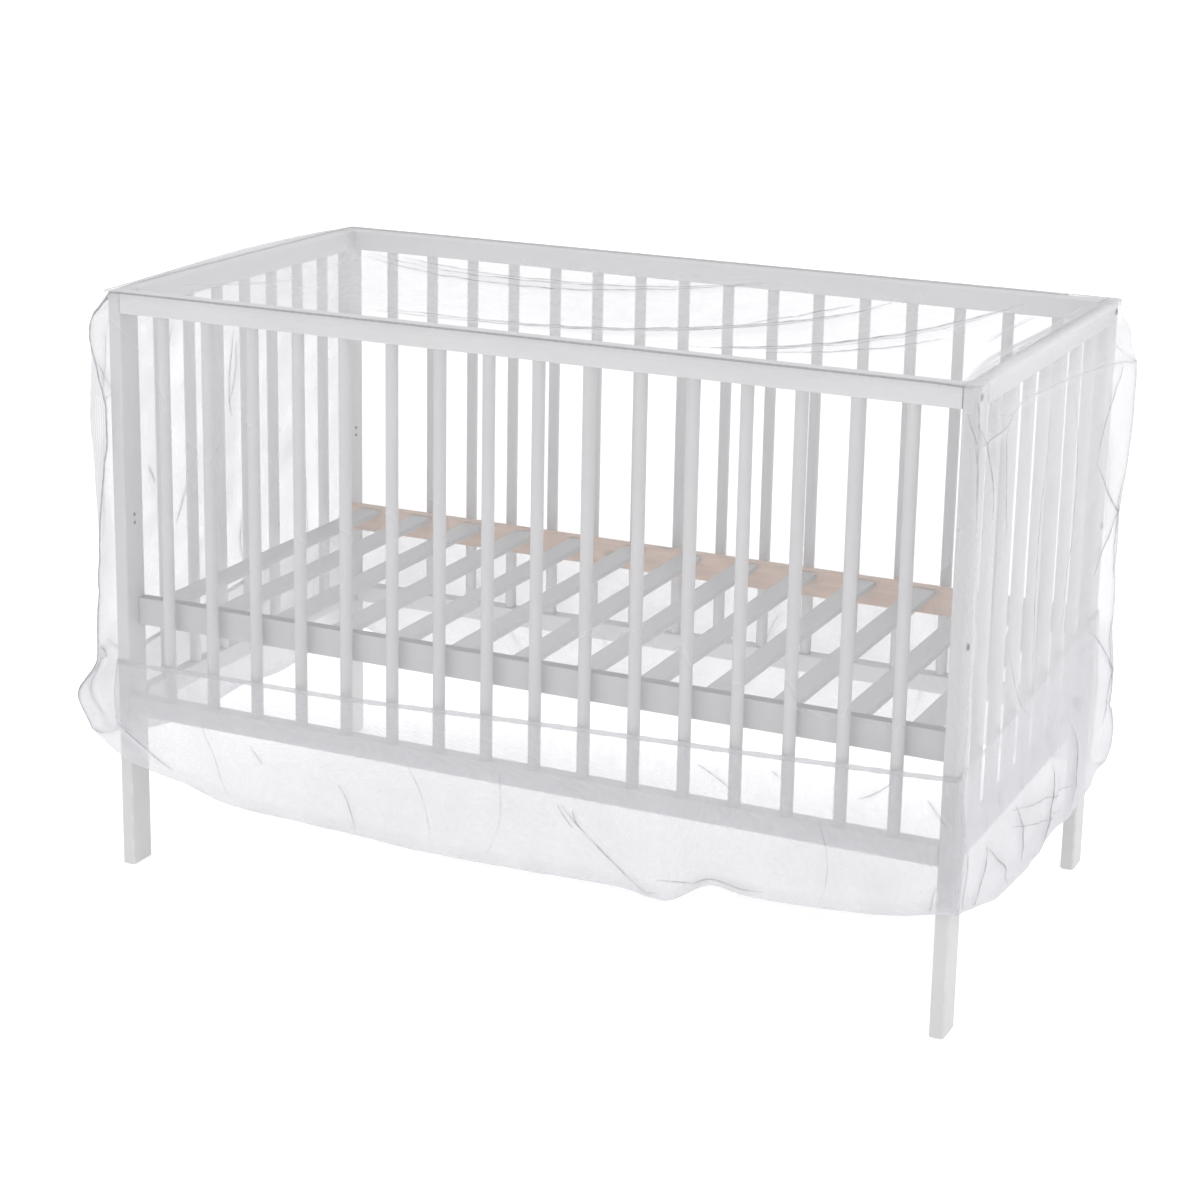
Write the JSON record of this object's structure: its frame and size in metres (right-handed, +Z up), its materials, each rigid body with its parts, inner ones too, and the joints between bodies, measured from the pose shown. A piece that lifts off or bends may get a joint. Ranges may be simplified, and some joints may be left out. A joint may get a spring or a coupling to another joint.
{
  "type": "crib with mosquito net",
  "caption": "White slatted baby crib under a sheer mosquito net that sags over the top rails, hangs down all round and turns back up in a loose pouch to an elastic band",
  "frame": {"origin": "on the floor under the middle of the whole part's outline", "axes": "+X along the crib's length, +Y from the front to the back, +Z up"},
  "size_m": [1.3308, 0.7268, 0.8549],
  "materials": {
    "painted_wood": "white satin paint",
    "bare_pine": "bare planed pine",
    "bolt_steel": "dark satin",
    "net_mesh": "sheer fine white mesh",
    "elastic": "ribbed white elastic"
  },
  "bodies": {
    "root": {"base_back_ledger": "bare_pine", "base_frame": "painted_wood", "bolt_mid_back_left": "bolt_steel", "bolt_mid_back_right": "bolt_steel", "bolt_mid_front_left": "bolt_steel", "bolt_mid_front_right": "bolt_steel", "bolt_top_back_left": "bolt_steel", "bolt_top_back_right": "bolt_steel", "bolt_top_front_left": "bolt_steel", "bolt_top_front_right": "bolt_steel", "end_left": "painted_wood", "end_right": "painted_wood", "net_back": "net_mesh", "net_elastic": "elastic", "net_front": "net_mesh", "net_left": "net_mesh", "net_right": "net_mesh", "net_top": "net_mesh", "post_back_left": "painted_wood", "post_back_right": "painted_wood", "post_front_left": "painted_wood", "post_front_right": "painted_wood", "rail_back_bottom": "painted_wood", "rail_back_top": "painted_wood", "rail_front_bottom": "painted_wood", "rail_front_top": "painted_wood", "slat_back_01": "painted_wood", "slat_back_02": "painted_wood", "slat_back_03": "painted_wood", "slat_back_04": "painted_wood", "slat_back_05": "painted_wood", "slat_back_06": "painted_wood", "slat_back_07": "painted_wood", "slat_back_08": "painted_wood", "slat_back_09": "painted_wood", "slat_back_10": "painted_wood", "slat_back_11": "painted_wood", "slat_back_12": "painted_wood", "slat_back_13": "painted_wood", "slat_back_14": "painted_wood", "slat_back_15": "painted_wood", "slat_back_16": "painted_wood", "slat_front_01": "painted_wood", "slat_front_02": "painted_wood", "slat_front_03": "painted_wood", "slat_front_04": "painted_wood", "slat_front_05": "painted_wood", "slat_front_06": "painted_wood", "slat_front_07": "painted_wood", "slat_front_08": "painted_wood", "slat_front_09": "painted_wood", "slat_front_10": "painted_wood", "slat_front_11": "painted_wood", "slat_front_12": "painted_wood", "slat_front_13": "painted_wood", "slat_front_14": "painted_wood", "slat_front_15": "painted_wood", "slat_front_16": "painted_wood"}
  },
  "joints": []
}
